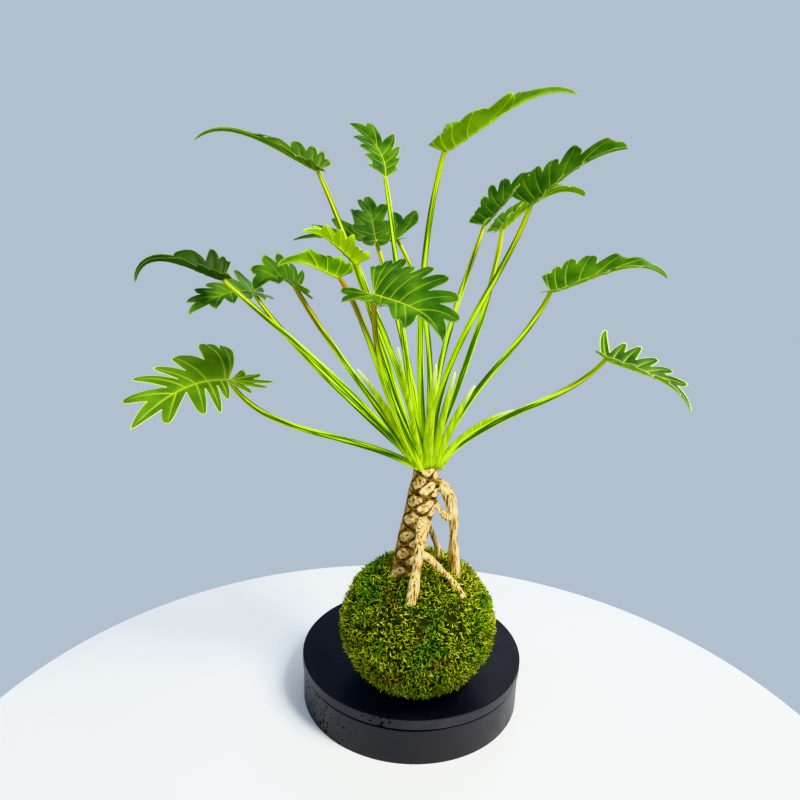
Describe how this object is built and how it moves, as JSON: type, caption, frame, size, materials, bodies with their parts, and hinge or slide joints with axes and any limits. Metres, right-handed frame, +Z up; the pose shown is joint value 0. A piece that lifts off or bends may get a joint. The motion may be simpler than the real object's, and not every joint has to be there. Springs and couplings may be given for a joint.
{
  "type": "kokedama moss ball plant",
  "caption": "House plant with long-stalked, lobed leaves growing from a moss-wrapped soil ball that rests on a low round display stand.",
  "frame": {"origin": "middle of the stand's underside, on the surface that it stands on", "axes": "+Z up, -Y towards the front, from which it is seen in the picture, +X to the right"},
  "size_m": [0.4077, 0.3386, 0.5415],
  "materials": {
    "stand": "matt black",
    "soil": "damp, crumbly",
    "moss": "soft, shaggy",
    "bark": "dry bark with pale scars",
    "stalk": "smooth, waxy",
    "blade": "leathery, glossy above",
    "sheath": "thin, papery"
  },
  "bodies": {
    "root": {"stand_drum": "stand", "stand_plate": "stand", "soil_core": "soil", "moss_cover": "moss", "trunk_and_prop_roots": "bark", "petiole_01": "stalk", "blade_01": "blade", "petiole_02": "stalk", "blade_02": "blade", "petiole_03": "stalk", "blade_03": "blade", "petiole_04": "stalk", "blade_04": "blade", "petiole_05": "stalk", "blade_05": "blade", "petiole_06": "stalk", "blade_06": "blade", "petiole_07": "stalk", "blade_07": "blade", "petiole_08": "stalk", "blade_08": "blade", "petiole_09": "stalk", "blade_09": "blade", "petiole_10": "stalk", "blade_10": "blade", "petiole_11": "stalk", "blade_11": "blade", "petiole_12": "stalk", "blade_12": "blade", "petiole_13": "stalk", "blade_13": "blade", "petiole_14": "stalk", "blade_14": "blade", "petiole_15": "stalk", "blade_15": "blade", "petiole_16": "stalk", "blade_16": "blade", "petiole_17": "stalk", "blade_17": "blade", "sheath_01": "sheath", "sheath_02": "sheath", "sheath_03": "sheath", "sheath_04": "sheath", "sheath_05": "sheath", "sheath_06": "sheath"}
  },
  "joints": []
}
